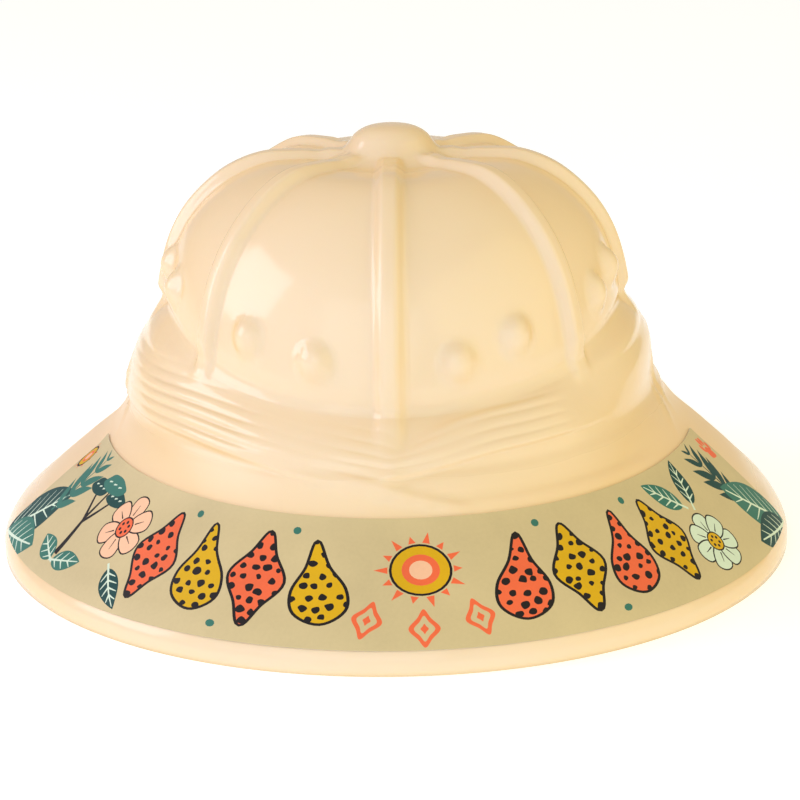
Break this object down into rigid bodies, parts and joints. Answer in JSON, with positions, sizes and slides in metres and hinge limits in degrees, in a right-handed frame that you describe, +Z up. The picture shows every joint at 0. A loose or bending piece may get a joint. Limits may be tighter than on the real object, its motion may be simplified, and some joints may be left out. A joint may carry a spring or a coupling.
{
  "type": "safari hat",
  "caption": "Moulded plastic safari hat with an oval ribbed crown, a top button, vent bumps, a pleated band, and a sloping brim with a printed card on its front",
  "frame": {"origin": "On the surface the hat stands on, under the middle of its oval", "axes": "+Z is up through the top button, -Y is the front, +X is the wearer's left"},
  "size_m": [0.24, 0.2764, 0.1268],
  "materials": {
    "shell_plastic": "thin vacuum-formed sheet, cream, glossy",
    "printed_card": "khaki printed card with a leaf and spot frieze"
  },
  "bodies": {
    "root": {"shell": "shell_plastic", "brim_label": "printed_card"}
  },
  "joints": []
}
